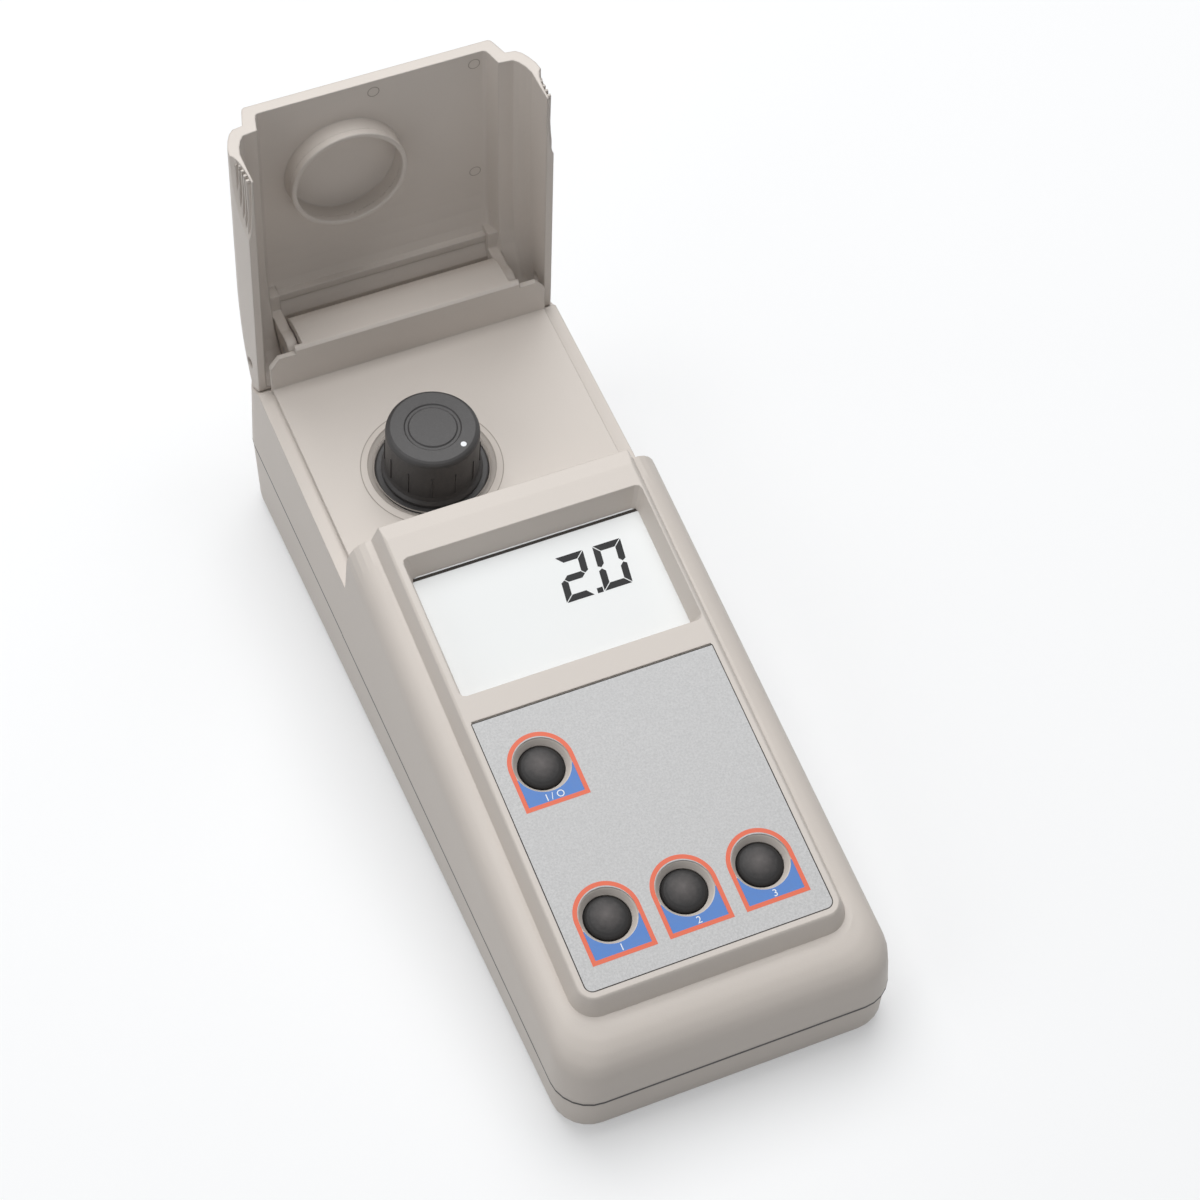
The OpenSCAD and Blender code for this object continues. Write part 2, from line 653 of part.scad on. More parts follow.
module dc_jack() {
  color(dark) difference() {
    union() {
      block([jack_x - 5, back - 14.5, jack_z - 5.6], [jack_x + 5, back - wall - 0.2, jack_z + 5.5]);
      translate([jack_x, back - 4, jack_z]) rotate([-90, 0, 0]) cylinder(h = 3.4, r = 4);
    }
    translate([jack_x, back - 10, jack_z]) rotate([-90, 0, 0]) cylinder(h = 20, r = 2.8);
  }
  color(steel) translate([jack_x, back - 10.01, jack_z]) rotate([-90, 0, 0])
    cylinder(h = 8.5, r = 1);
}

module case_screws() {
  color(steel) for (s = sides, p = case_screw) translate([s * p[0], p[1], base_z + 6])
    screw(1.3, 2.5, z_part(p[1]) + 6 - base_z - 6);
}
module rubber_feet() {
  color([0.15, 0.15, 0.15]) for (s = sides, y = foot_y)
    translate([s * foot_x, y, 0]) cylinder(h = foot_height + 0.6, r = 6);
}

lower_shell();
upper_shell();
lid();
hinge_pins();
keypad_overlay();
power_button();
left_button();
middle_button();
right_button();
key_switches();
lcd_lens();
lcd_panel();
lcd_bezel();
main_board();
board_screws();
cell_holder();
holder_screws();
cuvette();
cuvette_cap();
lamp();
lamp_board();
light_filter();
photocell();
sensor_board();
battery();
battery_snap();
battery_leads();
battery_door();
dc_jack();
case_screws();
rubber_feet();
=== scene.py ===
import math
import bpy
from mathutils import Matrix, Vector


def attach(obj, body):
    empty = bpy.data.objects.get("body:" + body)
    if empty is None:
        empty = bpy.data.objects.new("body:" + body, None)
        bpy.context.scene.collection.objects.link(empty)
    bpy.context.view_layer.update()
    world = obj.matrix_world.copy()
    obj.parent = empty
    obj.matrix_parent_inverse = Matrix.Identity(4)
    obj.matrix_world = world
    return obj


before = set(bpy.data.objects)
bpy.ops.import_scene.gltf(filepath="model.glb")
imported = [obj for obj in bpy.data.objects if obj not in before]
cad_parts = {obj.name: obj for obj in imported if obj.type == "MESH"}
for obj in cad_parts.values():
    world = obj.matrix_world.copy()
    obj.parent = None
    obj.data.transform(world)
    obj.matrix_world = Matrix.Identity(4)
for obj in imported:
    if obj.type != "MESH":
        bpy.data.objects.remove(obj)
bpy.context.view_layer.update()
print("stage: frame loaded")

mm = 0.001

# Planes and stations of the case, in millimetres, as the solids have them
case = {
    "front": -114.95,
    "top": (32.3, 0.219),      # console: height at the front, slope
    "joint": (12.9, 0.051),    # joint of the two shells: height at the front, slope
    "ledge": (47.2, 0.107),    # side ledges: height at the upstand, slope
    "upstand": 89.85,
    "deckRise": 1.7,           # deck above the ledges
    "well": (-8.3, 53.55),
    "hinge": (97.35, 53.1),
    "opening": 93.0,           # degrees that the cover stands open
    "rimDrop": 4.92,           # from the hinge to the rim of the cover
    "coverDepth": 20.9,        # from that rim to the inner face
}
topAngle = math.atan(case["top"][1])
deckAngle = math.atan(case["ledge"][1])


def topZ(y):
    return case["top"][0] + case["top"][1] * (y - case["front"])


def placeOf(x, y, z, angle):
    return Matrix.Translation(Vector((x, y, z)) * mm) @ Matrix.Rotation(angle, 4, "X")


def onConsole(x, y):
    return placeOf(x, y, topZ(y), topAngle)


wellX, wellY = case["well"]
wellZ = case["ledge"][0] + case["ledge"][1] * (wellY - case["upstand"]) + case["deckRise"]
well = placeOf(wellX, wellY, wellZ, deckAngle)
cover = placeOf(0, *case["hinge"], deckAngle - math.radians(case["opening"]))
coverInner = case["coverDepth"] - case["rimDrop"]


# A socket of a shader, with arithmetic that makes the nodes
class Socket:
    def __init__(self, net, out):
        self.net = net
        self.out = out

    def sibling(self, name):
        return Socket(self.net, self.out.node.outputs[name])

    def math(self, kind, *others):
        return self.net.node("ShaderNodeMath", {"operation": kind}, [self, *others])

    def __add__(self, other):
        return self.math("ADD", other)

    __radd__ = __add__

    def __sub__(self, other):
        return self.math("SUBTRACT", other)

    def __rsub__(self, other):
        return self.net.node("ShaderNodeMath", {"operation": "SUBTRACT"}, [other, self])

    def __mul__(self, other):
        return self.math("MULTIPLY", other)

    __rmul__ = __mul__

    def __abs__(self):
        return self.math("ABSOLUTE")


# The nodes of a material or of the world
class Net:
    def __init__(self, owner):
        owner.use_nodes = True
        self.owner = owner
        self.tree = owner.node_tree

    def feed(self, node, key, value):
        entry = node.inputs[key]
        if isinstance(value, Socket):
            self.tree.links.new(value.out, entry)
        else:
            entry.default_value = value

    def node(self, kind, settings, inputs, out=0):
        made = self.tree.nodes.new(kind)
        for key, value in settings.items():
            setattr(made, key, value)
        pairs = inputs.items() if isinstance(inputs, dict) else enumerate(inputs)
        for key, value in pairs:
            self.feed(made, key, value)
        return Socket(self, made.outputs[out])

    def noise(self, scale, detail=3.0, rough=0.5):
        place = self.node("ShaderNodeTexCoord", {}, {}, "Object")
        inputs = {"Vector": place, "Scale": scale, "Detail": detail, "Roughness": rough}
        return self.node("ShaderNodeTexNoise", {}, inputs)

    def ramp(self, value, low, high, a, b):
        return self.node("ShaderNodeMapRange", {"clamp": True}, [value, low, high, a, b])

    # Between two colours, then between two vectors
    def mix(self, share, a, b):
        return self.node("ShaderNodeMix", {"data_type": "RGBA"}, {0: share, 6: a, 7: b}, 2)

    def blend(self, share, a, b):
        return self.node("ShaderNodeMix", {"data_type": "VECTOR"}, {0: share, 4: a, 5: b}, 1)

    def bump(self, height, strength, distance, normal=None):
        inputs = {"Height": height, "Strength": strength, "Distance": distance}
        if normal is not None:
            inputs["Normal"] = normal
        return self.node("ShaderNodeBump", {}, inputs)

    def bevel(self, radius):
        return self.node("ShaderNodeBevel", {"samples": 6}, {"Radius": radius * mm})

    def done(self, **inputs):
        for key, value in inputs.items():
            self.feed(self.tree.nodes["Principled BSDF"], key.replace("_", " "), value)
        return self.owner


def newNet(name):
    return Net(bpy.data.materials.new(name))


def rgb(*c):
    return (c[0], c[1], c[2], 1.0)


def shade(colour, k):
    return rgb(*(min(1.0, c * k) for c in colour[:3]))


# Spark-eroded skin of moulded plastic, with faint clouds in its colour
skin = {"scale": 2600.0, "depth": 0.08, "cloudScale": 14.0, "spread": 0.05}


def mouldedSkin(net, colour, rough, grain, low, high, soft):
    fine = net.noise(skin["scale"], 2.0, 0.6)
    cloud = net.ramp(net.noise(skin["cloudScale"], 2.0), 0.3, 0.7, 0.0, 1.0)
    body = net.mix(cloud, shade(colour, low), shade(colour, high))
    sheen = net.ramp(fine, 0.3, 0.7, rough - skin["spread"], rough + skin["spread"])
    return body, sheen, net.bump(fine, grain, skin["depth"] * mm, soft)


def moulded(name, colour, rough, grain, cloud=0.03, edge=0.5):
    net = newNet(name)
    body, sheen, relief = mouldedSkin(net, colour, rough, grain, 1 - cloud, 1 + cloud, net.bevel(edge))
    return net.done(Base_Color=body, Roughness=sheen, Normal=relief)


# The two shells: painted shade along the line of their joint, and the wide soft shoulder round the console
beige = {"colour": rgb(0.6, 0.55, 0.505), "rough": 0.48, "grain": 0.2}
jointShade = {"half": 0.72, "colour": rgb(0.012, 0.009, 0.007)}
shoulder = {"x": 35.2, "y": 103.7, "end": 21.0, "soft": 3.2, "crisp": 0.45, "fade": 0.6, "endFade": 2.0}


def shellMaterial():
    net = newNet("shellBeige")
    spot = net.node("ShaderNodeNewGeometry", {}, {}, "Position")
    z = net.node("ShaderNodeSeparateXYZ", {}, {"Vector": spot}, "Z")
    x, y = abs(z.sibling("X")), z.sibling("Y")
    beside = net.ramp(x * 1000.0, shoulder["x"], shoulder["x"] + shoulder["fade"], 0.0, 1.0)
    before = net.ramp(y * -1000.0, shoulder["y"], shoulder["y"] + shoulder["fade"], 0.0, 1.0)
    ahead = net.ramp(y * 1000.0, shoulder["end"] - shoulder["endFade"], shoulder["end"], 1.0, 0.0)
    share = beside.math("MAXIMUM", before) * ahead
    soft = net.blend(share, net.bevel(shoulder["crisp"]), net.bevel(shoulder["soft"]))
    level = (y * 1000.0 - case["front"]) * case["joint"][1] + case["joint"][0]
    # Painted shade: a dark band along the joint of the two shells, where the gap lies in shadow
    line = net.ramp(abs(z * 1000.0 - level), jointShade["half"] * 0.7, jointShade["half"], 1.0, 0.0)
    body, sheen, relief = mouldedSkin(net, beige["colour"], beige["rough"], beige["grain"], 0.975, 1.02, soft)
    return net.done(Base_Color=net.mix(line, body, jointShade["colour"]), Roughness=sheen, Normal=relief)


# Grey speckled film of the keypad
speckle = {"dark": rgb(0.44, 0.44, 0.442), "pale": rgb(0.55, 0.55, 0.552), "scale": 1900.0, "depth": 0.04}


def overlayMaterial():
    net = newNet("overlayFilm")
    speck = net.noise(speckle["scale"], 2.0, 0.8)
    share = net.ramp(speck, 0.34, 0.66, 0.0, 1.0)
    return net.done(
        Base_Color=net.mix(share, speckle["dark"], speckle["pale"]),
        Roughness=net.ramp(speck, 0.3, 0.7, 0.4, 0.5),
        Normal=net.bump(speck, 0.12, speckle["depth"] * mm))


# Rubber of the keys, with a painted highlight paler in the middle
rubber = {"dark": rgb(0.018, 0.017, 0.017), "paintedHighlight": rgb(0.1, 0.09, 0.088), "reach": 0.6, "edge": 0.3}


def rubberMaterial():
    net = newNet("keyRubber")
    fine = net.noise(2200.0, 2.0)
    box = net.node("ShaderNodeTexCoord", {}, {}, "Generated")
    centred = [box, (2.0, 2.0, 0.0), (-1.0, -1.0, 0.0)]
    flat = net.node("ShaderNodeVectorMath", {"operation": "MULTIPLY_ADD"}, centred)
    away = net.node("ShaderNodeVectorMath", {"operation": "LENGTH"}, [flat], "Value")
    # Painted highlight: the middle of each key is coloured paler, where the light from above would catch it
    paintedHighlight = net.ramp(away + (net.noise(700.0) - 0.5) * 0.3, 0.0, rubber["reach"], 1.0, 0.0)
    return net.done(
        Base_Color=net.mix(paintedHighlight, rubber["dark"], rubber["paintedHighlight"]),
        Roughness=net.ramp(fine, 0.3, 0.7, 0.48, 0.6),
        Specular_IOR_Level=0.3,
        Normal=net.bump(fine, 0.1, 0.05 * mm, net.bevel(rubber["edge"])))


# A simple finish, with a little unevenness in colour and sheen
def plain(name, colour, rough, spread=0.04, metal=0.0, scale=120.0, **more):
    net = newNet(name)
    n = net.noise(scale)
    cloud = net.ramp(n, 0.3, 0.7, 0.0, 1.0)
    return net.done(
        Base_Color=net.mix(cloud, shade(colour, 1 - spread), shade(colour, 1 + spread)),
        Roughness=net.ramp(n, 0.3, 0.7, max(0.02, rough - 0.04), rough + 0.04),
        Metallic=metal, **more)


caseMat = moulded("caseBeige", beige["colour"], beige["rough"], beige["grain"], edge=0.7)
rimMat = moulded("rimBeige", beige["colour"], beige["rough"], beige["grain"])
shellMat = shellMaterial()
overlayMat = overlayMaterial()
rubberMat = rubberMaterial()
capMat = moulded("capBlack", rgb(0.03, 0.028, 0.028), 0.52, 0.12, 0.08, 0.25)
blackMat = moulded("blackPlastic", rgb(0.035, 0.033, 0.033), 0.5, 0.15, 0.06, 0.2)
displayMat = plain("displayFace", rgb(0.78, 0.795, 0.795), 0.5, 0.01, scale=20.0)
segmentMat = plain("displaySegment", rgb(0.012, 0.012, 0.013), 0.8, 0.05)
boardMat = plain("circuitBoard", rgb(0.03, 0.16, 0.06), 0.4, 0.15, scale=400.0)
steelMat = plain("plainSteel", rgb(0.55, 0.55, 0.56), 0.3, 0.05, 1.0)
glassMat = plain("vialGlass", rgb(0.92, 0.95, 0.95), 0.06, 0.01, Alpha=0.3)
lensMat = plain("clearWindow", rgb(0.95, 0.96, 0.96), 0.06, 0.01, Alpha=0.06)
filterMat = plain("filterGlass", rgb(0.2, 0.25, 0.6), 0.08, 0.02, Alpha=0.6)
lampMat = plain("lampEpoxy", rgb(0.85, 0.85, 0.78), 0.15, 0.02)
batteryMat = plain("batteryJacket", rgb(0.06, 0.07, 0.09), 0.35, 0.1, 0.6)
wireMat = plain("wireCover", rgb(0.4, 0.03, 0.03), 0.45, 0.05)
feetMat = plain("footRubber", rgb(0.03, 0.03, 0.03), 0.7, 0.1)
redMat = plain("printRed", rgb(0.72, 0.125, 0.055), 0.5, 0.03, scale=700.0)
blueMat = plain("printBlue", rgb(0.062, 0.19, 0.52), 0.5, scale=700.0)
whiteMat = plain("printWhite", rgb(0.8, 0.82, 0.85), 0.5, 0.02)
edgeMat = plain("seamShadow", rgb(0.035, 0.03, 0.026), 0.9, 0.1)
lineMat = plain("softLine", rgb(0.36, 0.32, 0.285), 0.7, 0.05)

finishes = {
    "lower_shell": shellMat, "upper_shell": shellMat, "lid": caseMat, "battery_door": caseMat,
    "keypad_overlay": overlayMat, "power_button": rubberMat, "left_button": rubberMat,
    "middle_button": rubberMat, "right_button": rubberMat, "key_switches": blackMat,
    "lcd_lens": lensMat, "lcd_panel": displayMat, "lcd_bezel": blackMat, "main_board": boardMat,
    "board_screws": steelMat, "cell_holder": blackMat, "holder_screws": steelMat,
    "cuvette": glassMat, "cuvette_cap": capMat, "lamp": lampMat, "lamp_board": boardMat,
    "light_filter": filterMat, "photocell": steelMat, "sensor_board": boardMat,
    "battery": batteryMat, "battery_snap": blackMat, "battery_leads": wireMat,
    "dc_jack": blackMat, "case_screws": steelMat, "rubber_feet": feetMat, "hinge_pins": steelMat,
}
for name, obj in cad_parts.items():
    obj.data.materials.clear()
    obj.data.materials.append(finishes[name])
print("stage: materials")


def added(name, mesh, material, body):
    mesh.materials.clear()
    mesh.materials.append(material)
    obj = bpy.data.objects.new(name, mesh)
    bpy.context.collection.objects.link(obj)
    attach(obj, body)


def piece(name, verts, faces, material, body, slot):
    mesh = bpy.data.meshes.new(name)
    mesh.from_pydata([tuple(v) for v in verts], [], faces)
    mesh.update()
    added(name, mesh, material, body)


# A flat piece from a text or an outline that Blender fills
def filled(name, curve, place, material, body):
    made = bpy.data.objects.new(name + "_curve", curve)
    bpy.context.collection.objects.link(made)
    bpy.context.view_layer.update()
    mesh = bpy.data.meshes.new_from_object(made)
    bpy.data.objects.remove(made)
    mesh.transform(place)
    added(name, mesh, material, body)


def joined(parts):
    verts, faces = [], []
    for v, f in parts:
        base = len(verts)
        verts += v
        faces += [tuple(i + base for i in face) for face in f]
    return verts, faces


def placed(place, points, z):
    return [place @ (Vector((x, y, z)) * mm) for x, y in points]


def circle(r, step, cx=0.0, cy=0.0, closed=False):
    turn = [math.radians(t) for t in range(0, 361 if closed else 360, step)]
    return [(cx + r * math.cos(t), cy + r * math.sin(t)) for t in turn]


# Faces between rows of n points: around each row, and from the last row back to the first
def quads(rows, n, base=0, around=True, back=False):
    faces = []
    for k in range(rows if back else rows - 1):
        a, b = base + k * n, base + (k + 1) % rows * n
        for i in range(n if around else n - 1):
            j = (i + 1) % n
            faces.append((a + i, a + j, b + j, b + i))
    return faces


def endFaces(rows, n, base=0):
    last = base + (rows - 1) * n
    return [tuple(range(base, base + n)), tuple(range(last, last + n))]


def strip(a, b, place, lift):
    return placed(place, a + b, lift), quads(2, len(a), around=False)


# Printed frames and fields round the four keys
keys = {"half": 8.05, "line": 1.1, "drop": 10.45, "rim": 7.0, "rise": 0.38, "fill": -1.9, "lift": 0.05,
        "at": [(-19.2, -44.75), (-19.2, -83.95), (0.0, -83.95), (19.2, -83.95)]}


def archPath(r, drop):
    turn = [math.radians(t) for t in range(0, 181, 5)]
    arc = [(r * math.cos(t), keys["rise"] + r * math.sin(t)) for t in turn]
    return arc + [(-r, -drop), (r, -drop), (r, keys["rise"])]


frames, fields = [], []
inside = keys["drop"] - keys["line"]
for x, y in keys["at"]:
    place = onConsole(x, y)
    inner, outer = archPath(keys["half"] - keys["line"], inside), archPath(keys["half"], keys["drop"])
    frames.append(strip(inner, outer, place, keys["lift"]))
    span = [keys["rim"] * math.sin(math.radians(t)) for t in range(-90, 91, 5)]
    upper = [(s, min(keys["fill"], -math.sqrt(max(0.0, keys["rim"] ** 2 - s * s)))) for s in span]
    fields.append(strip([(s, -inside) for s in span], upper, place, keys["lift"]))
piece("key_frames", *joined(frames), redMat, "base", "overlay")
piece("key_fields", *joined(fields), blueMat, "base", "overlay")

# Generic marks under the keys
labels = {"size": 2.5, "drop": 8.35, "lift": 0.07,
          "shown": (("mark_power", "I / O"), ("mark_left", "1"), ("mark_middle", "2"), ("mark_right", "3"))}
for (x, y), (name, text) in zip(keys["at"], labels["shown"]):
    curve = bpy.data.curves.new(name, "FONT")
    curve.body = text
    curve.size = labels["size"] * mm
    curve.align_x = "CENTER"
    curve.align_y = "CENTER"
    curve.resolution_u = 3
    place = onConsole(x, y) @ Matrix.Translation(Vector((0, -labels["drop"], labels["lift"])) * mm)
    filled(name, curve, place, whiteMat, "base")

# Seven-segment figures on the display, leaning a little, and the white face behind them
window = {"at": (0.6, -3.7), "half": (29.7, 18.2), "figures": -5.8, "face": -5.83, "edge": -5.78}
digits = {"height": 12.3, "width": 7.4, "stroke": 1.75, "gap": 0.16, "lean": 0.14,
          "at": [(8.0, 3.9), (17.9, 3.9)], "shown": ["abged", "abcdef"],
          "dot": (11.6, -2.3), "dotSize": (1.5, 1.4), "dotLean": 0.16}


def segments(shown, ox, oy):
    t, g, right, up = digits["stroke"], digits["gap"], digits["width"] / 2, digits["height"] / 2
    side = [(right, up - g), (right, t * 0.3 + g), (right - t * 0.5, g), (right - t, t * 0.5 + g),
            (right - t, up - t - g)]
    turned = side[:1] + side[:0:-1]
    top = [(g - right, up), (right - g, up), (right - t - g, up - t), (t + g - right, up - t)]
    bars = {
        "a": top,
        "b": side,
        "c": [(x, -y) for x, y in turned],
        "d": [(x, -y) for x, y in reversed(top)],
        "e": [(-x, -y) for x, y in side],
        "f": [(-x, y) for x, y in turned],
        "g": [(t * 0.5 + g - right, 0.0), (t + g - right, t / 2), (right - t - g, t / 2),
              (right - t * 0.5 - g, 0.0), (right - t - g, -t / 2), (t + g - right, -t / 2)],
    }
    return [[(ox + x + y * digits["lean"], oy + y) for x, y in bars[s]] for s in shown]


screen = onConsole(*window["at"])
outlines = []
for (x, y), shown in zip(digits["at"], digits["shown"]):
    outlines += segments(shown, x, y)
(dx, dy), (w, h), lean = digits["dot"], digits["dotSize"], digits["dotLean"]
outlines.append([(dx, dy), (dx + w, dy), (dx + w + lean, dy + h), (dx + lean, dy + h)])
verts, faces = [], []
for line in outlines:
    faces.append(tuple(range(len(verts), len(verts) + len(line))))
    verts += placed(screen, line, window["figures"])
piece("display_figures", verts, faces, segmentMat, "base", "display")
w, h = window["half"]
verts = placed(screen, [(-w, -h), (w, -h), (w, h), (-w, h)], window["face"])
piece("display_face", verts, [(0, 1, 2, 3)], displayMat, "base", "display")

# Film of the keypad, with its small corners and the holes of the four wells
film = {"half": 31.05, "y": (-99.7, -29.8), "front": 2.0, "back": 0.3, "hole": 7.0, "lift": 0.03,
        "line": 0.22, "lineBack": 0.1, "lineLift": 0.045}


def roundOutline(half, y0, y1, front, back, n=8):
    pts = []
    for cx, cy, r, a in ((half - front, y0 + front, front, -90), (half - back, y1 - back, back, 0),
                         (back - half, y1 - back, back, 90), (front - half, y0 + front, front, 180)):
        for i in range(n + 1):
            t = math.radians(a + 90 * i / n)
            pts.append((cx + r * math.cos(t), cy + r * math.sin(t)))
    return pts + pts[:1]


slope = math.cos(topAngle)
y0, y1 = [y / slope for y in film["y"]]
outer = roundOutline(film["half"], y0, y1, film["front"], film["back"])
inner = roundOutline(film["half"] - film["line"], y0 + film["line"], y1 - film["line"],
                     film["front"] - film["line"], film["lineBack"])
curve = bpy.data.curves.new("keypad_film", "CURVE")
curve.dimensions = "2D"
curve.fill_mode = "BOTH"
for line in [outer[:-1]] + [circle(film["hole"], 5, x, y / slope) for x, y in keys["at"]]:
    spline = curve.splines.new("POLY")
    spline.points.add(len(line) - 1)
    for point, (x, y) in zip(spline.points, line):
        point.co = (x * mm, y * mm, 0, 1)
    spline.use_cyclic_u = True
lifted = onConsole(0, 0) @ Matrix.Translation(Vector((0, 0, film["lift"])) * mm)
filled("keypad_film", curve, lifted, overlayMat, "base")
# Painted shadow: a dark strip in the gap round the edge of the film
piece("keypad_edge", *strip(outer, inner, onConsole(0, 0), film["lineLift"]), edgeMat, "base", "overlay")

# Shadowed edge of the window
border = {"x": (-30.62, 30.42), "y": (-17.55, 16.35), "top": 0.8, "side": 0.3}
x0, x1, y0, y1 = border["x"] + border["y"]
outer = [(x0, y0), (x0, y1), (x1, y1), (x1, y0)]
inner = [(x0 + border["side"], y0), (x0 + border["side"], y1 - border["top"]),
         (x1 - border["side"], y1 - border["top"]), (x1 - border["side"], y0)]
piece("window_edge", *strip(outer, inner, screen, window["edge"]), edgeMat, "base", "black_plastic")

# The plateau's rim round the keypad, with corners as tight as the moulding has them.
# Each ring: half width at the front, the same at the end, front station, corner radius, depth.
rim = {"rings": ((32.45, 32.12, -101.1, 3.6, 0.012), (32.75, 32.67, -101.42, 3.9, -0.35),
                 (33.0, 32.92, -101.7, 4.2, -1.0), (34.53, 34.53, -102.98, 6.0, -5.0),
                 (34.9, 34.9, -103.4, 6.4, -8.0)),
       "end": -26.0, "taper": 34.0, "taperSteps": 8, "wide": 1.35, "steps": 14}


def rimLine(half, endHalf, y0, r):
    pts = []
    for k in range(rim["taperSteps"] + 1):
        part = k / rim["taperSteps"]
        pts.append((half - (half - endHalf) * (1 - part), rim["end"] - rim["taper"] * part))
    for k in range(rim["steps"] + 1):
        t = math.radians(-90 * k / rim["steps"])
        pts.append((half - r + r * math.cos(t), y0 + r + r * math.sin(t)))
    return pts + [(-x, y) for x, y in reversed(pts)]


half, endHalf, y0, r, depth = rim["rings"][0]
wide = rim["wide"]
rings = ((half - wide, endHalf - wide, y0 + wide, r - wide, depth),) + rim["rings"]
verts = []
for *shape, depth in rings:
    verts += [Vector((x, y, topZ(y) + depth)) * mm for x, y in rimLine(*shape)]
faces = quads(len(rings), len(verts) // len(rings), around=False)
piece("plateau_rim", verts, faces, rimMat, "base", "case")

# Painted shade lines at the edges of the collar round the well: inner and outer radius, and height over the
# deck
collar = {"lines": ((17.9, 18.15, 0.03), (16.1, 16.35, 0.53), (14.7, 14.95, 0.53))}
lines = []
for small, large, lift in collar["lines"]:
    lines.append(strip(circle(large, 4, closed=True), circle(small, 4, closed=True), well, lift))
piece("collar_shade_lines", *joined(lines), lineMat, "base", "case")

# White dot on the cap
dot = {"at": (5.2, -7.6), "r": 0.75, "lift": 16.53}
verts = placed(well, circle(dot["r"], 15, *dot["at"]), dot["lift"])
piece("cap_dot", verts, [tuple(range(len(verts)))], whiteMat, "vial", "cap")
print("stage: printed marks")

# Fine ribs down the wall of the cap
ribs = {"count": 12, "start": 8, "r": 11.75, "root": -0.3, "proud": 0.3, "wide": 0.45, "crest": 0.6,
        "h": (2.9, 10.5)}
section = ((ribs["root"], -1), (ribs["proud"], -ribs["crest"]),
           (ribs["proud"], ribs["crest"]), (ribs["root"], 1))
verts, faces = [], []
for i in range(ribs["count"]):
    t = math.radians(360 / ribs["count"] * i + ribs["start"])
    out, across = Vector((math.cos(t), math.sin(t), 0)), Vector((-math.sin(t), math.cos(t), 0))
    faces += quads(2, 4, len(verts)) + endFaces(2, 4, len(verts))
    for h in ribs["h"]:
        for a, b in section:
            spot = out * (ribs["r"] + a) + across * (b * ribs["wide"] / 2) + Vector((0, 0, h))
            verts.append(well @ (spot * mm))
piece("cap_ribs", verts, faces, capMat, "vial", "cap")

# Ring that shades the cap, as deep as the moulding
shield = {"u": -44.41, "radii": (14.0, 15.3), "h": (15.2, 17.3), "soft": 0.2}
small, large = shield["radii"]
low, high = [h - case["rimDrop"] for h in shield["h"]]
soft = shield["soft"]
loop = [(large, high), (large, low + soft), (large - soft, low),
        (small + soft, low), (small, low + soft), (small, high)]
verts = []
for r, h in loop:
    verts += placed(cover, circle(r, 5, wellX, shield["u"]), h)
faces = quads(len(loop), len(verts) // len(loop), back=True)
piece("cap_shield", verts, faces, caseMat, "cover", "case")

# Grip ribs in the finger scoops of the cover
grip = {"half": 40.3, "limit": 39.7, "end": 69.35, "dip": 2.1, "long": 20.0, "high": 10.0, "count": 5,
        "first": 0.9, "pitch": 1.7, "root": -0.3, "proud": 0.75, "thick": 0.5, "steps": 12,
        "short": 1.2, "inset": 0.5}
section = ((grip["root"], 0.0), (grip["proud"], 0.0),
           (grip["proud"], grip["thick"]), (grip["root"], grip["thick"]))
rows = grip["steps"] + 1
verts, faces = [], []
for side in (-1, 1):
    for i in range(grip["count"]):
        h = grip["first"] + i * grip["pitch"]
        reach = grip["long"] * math.sqrt(1 - (h / grip["high"]) ** 2) - grip["short"]
        faces += quads(rows, 4, len(verts)) + endFaces(rows, 4, len(verts))
        for k in range(rows):
            along = grip["end"] - grip["inset"] - reach * k / grip["steps"]
            left = 1 - ((along - grip["end"]) / grip["long"]) ** 2 - (h / grip["high"]) ** 2
            x = grip["half"] - grip["dip"] * math.sqrt(max(0.0, left))
            for dx, dh in section:
                spot = Vector((side * min(x + dx, grip["limit"]), -along, h + dh - case["rimDrop"]))
                verts.append(cover @ (spot * mm))
piece("grip_ribs", verts, faces, caseMat, "cover", "case")

# Rail with a fillet that ties the cover's hinge arms together
rail = {"half": 31.0, "top": 11.8, "proud": 4.4, "run": 3.6, "wide": 2.2, "root": 0.3, "steps": 8}
profile = []
for k in range(rail["steps"] + 1):
    t = math.radians(90 * k / rail["steps"])
    profile.append((rail["top"] - rail["run"] * math.sin(t), coverInner - rail["proud"] * (1 - math.cos(t))))
low = profile[-1][0] - rail["wide"]
profile += [(low, profile[-1][1]), (low, coverInner + rail["root"]), (rail["top"], coverInner + rail["root"])]
verts = [cover @ (Vector((x, -u, h)) * mm) for x in (-rail["half"], rail["half"]) for u, h in profile]
faces = quads(2, len(profile)) + endFaces(2, len(profile))
piece("hinge_rail", verts, faces, caseMat, "cover", "case")

# Ejector marks inside the cover
marks = {"at": [(0.5, -66.5), (27, -66.4), (27.4, -28.4)], "r": 1.6, "line": 0.25, "lift": 0.04}
rings = []
for x, y in marks["at"]:
    inner, outer = [circle(r, 15, x, y, closed=True) for r in (marks["r"] - marks["line"], marks["r"])]
    rings.append(strip(outer, inner, cover, coverInner - marks["lift"]))
piece("ejector_marks", *joined(rings), lineMat, "cover", "case")

# Soft boxes: place, aim, size and power
lights = {
    "softTop": ((0.1, 0.45, 1.25), (0, 0, 0), (1.3, 1.3), 18.5),
    "softLeft": ((-1.2, -0.1, 0.8), (0, 0, 0.03), (1.2, 1.0), 4.1),
    "softFront": ((-0.1, -1.4, 0.7), (0, 0, 0.03), (1.2, 0.8), 2.3),
}
for name, (place, aim, size, power) in lights.items():
    lamp = bpy.data.lights.new(name, "AREA")
    lamp.shape = "RECTANGLE"
    lamp.size, lamp.size_y = size
    lamp.energy = power
    obj = bpy.data.objects.new(name, lamp)
    obj.location = place
    obj.rotation_mode = "QUATERNION"
    obj.rotation_quaternion = (Vector(aim) - Vector(place)).to_track_quat("-Z", "Y")
    bpy.context.collection.objects.link(obj)


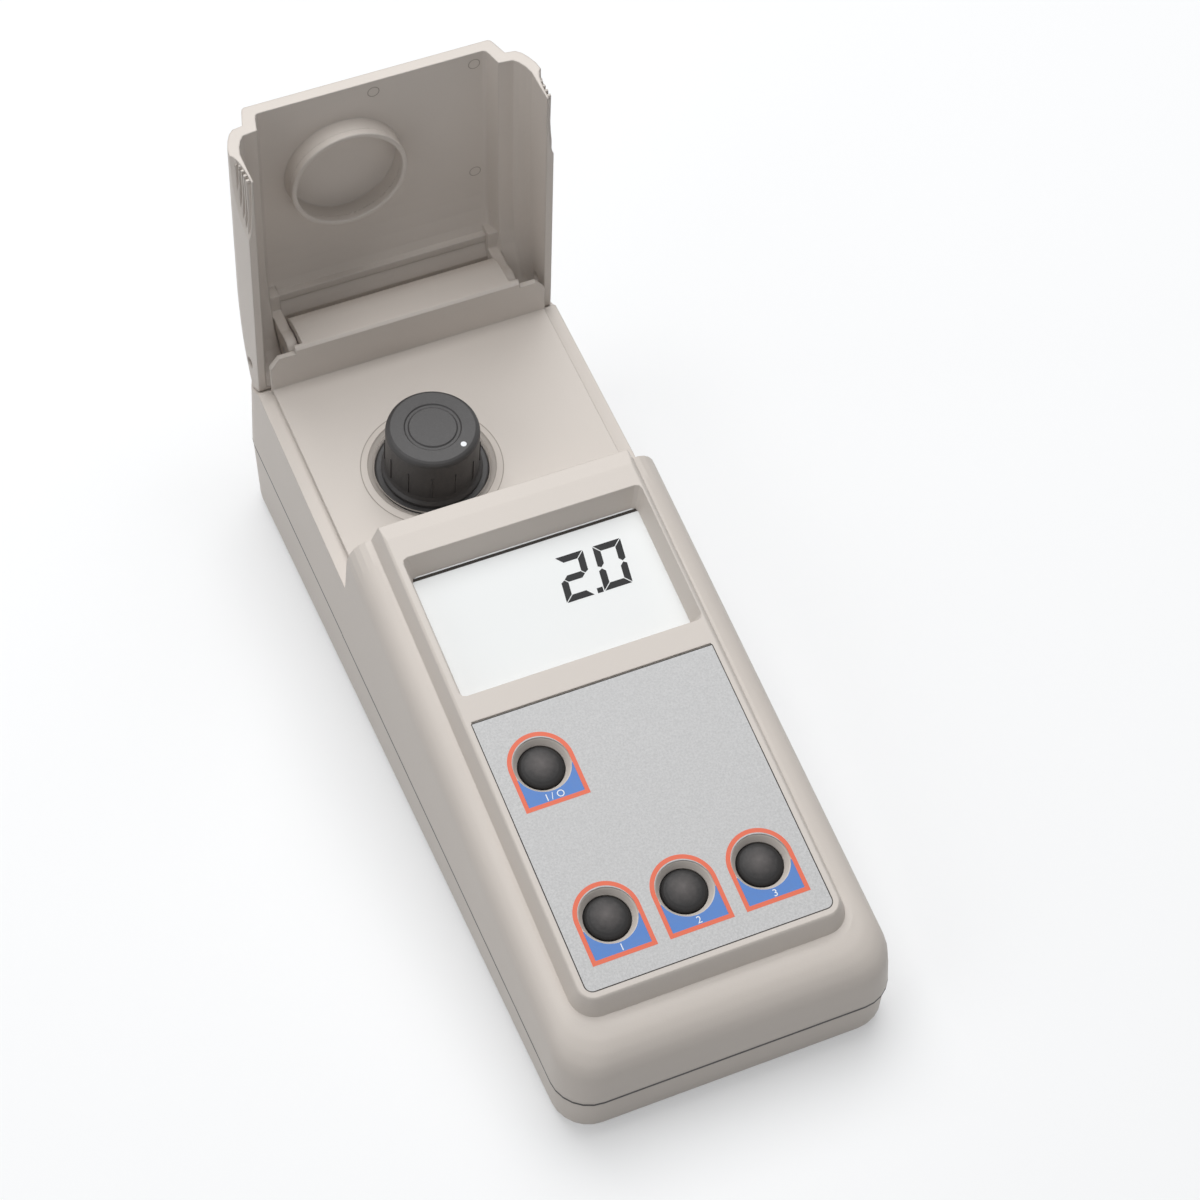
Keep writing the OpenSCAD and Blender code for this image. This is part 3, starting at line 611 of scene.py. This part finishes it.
# 1 for the rays that see the pale studio: from the camera, or off or through a surface
def paleRays(net):
    seen = net.node("ShaderNodeLightPath", {}, {}, "Is Camera Ray")
    mirrored, through = seen.sibling("Is Glossy Ray"), seen.sibling("Is Transmission Ray")
    return seen.math("MAXIMUM", mirrored).math("MAXIMUM", through)


studio = {"pale": rgb(0.98, 0.99, 1.0), "seen": 1.0, "ambient": 0.165}
world = bpy.data.worlds.new("studio")
bpy.context.scene.world = world
net = Net(world)
net.tree.nodes.clear()
ambient, seen = [net.node("ShaderNodeBackground", {}, {"Color": studio["pale"], "Strength": studio[key]})
                 for key in ("ambient", "seen")]
both = net.node("ShaderNodeMixShader", {}, [paleRays(net), ambient, seen])
net.feed(net.tree.nodes.new("ShaderNodeOutputWorld"), "Surface", both)

# Pale floor, whiter to the camera than to the object
ground = {"half": 3.0, "lit": rgb(0.6, 0.6, 0.6), "seen": rgb(0.6, 0.605, 0.61),
          "glow": rgb(0.34, 0.342, 0.345)}
side = ground["half"]
mesh = bpy.data.meshes.new("floor")
mesh.from_pydata([(-side, -side, 0), (side, -side, 0), (side, side, 0), (-side, side, 0)], [], [(0, 1, 2, 3)])
floor = bpy.data.objects.new("floor", mesh)
bpy.context.collection.objects.link(floor)
net = newNet("floorWhite")
ray = paleRays(net)
mesh.materials.append(net.done(
    Base_Color=net.mix(ray, ground["lit"], ground["seen"]),
    Emission_Color=net.mix(ray, rgb(0.0, 0.0, 0.0), ground["glow"]),
    Emission_Strength=1.0, Roughness=0.9, Specular_IOR_Level=0.0))

lens = {"width": 36.0, "focal": 96.5, "shift": (0.0457, 0.0198),
        "place": (-188.2, -452.15, 654.0), "aim": (0.2397, 0.5751, -0.7822)}
camera = bpy.data.cameras.new("camera")
camera.sensor_width = lens["width"]
camera.lens = lens["focal"]
camera.shift_x, camera.shift_y = lens["shift"]
view = bpy.data.objects.new("camera", camera)
view.location = Vector(lens["place"]) * mm
view.rotation_mode = "QUATERNION"
view.rotation_quaternion = Vector(lens["aim"]).to_track_quat("-Z", "Y")
bpy.context.collection.objects.link(view)
bpy.context.scene.camera = view
bpy.context.scene.view_settings.view_transform = "Standard"
print("stage: light and camera")
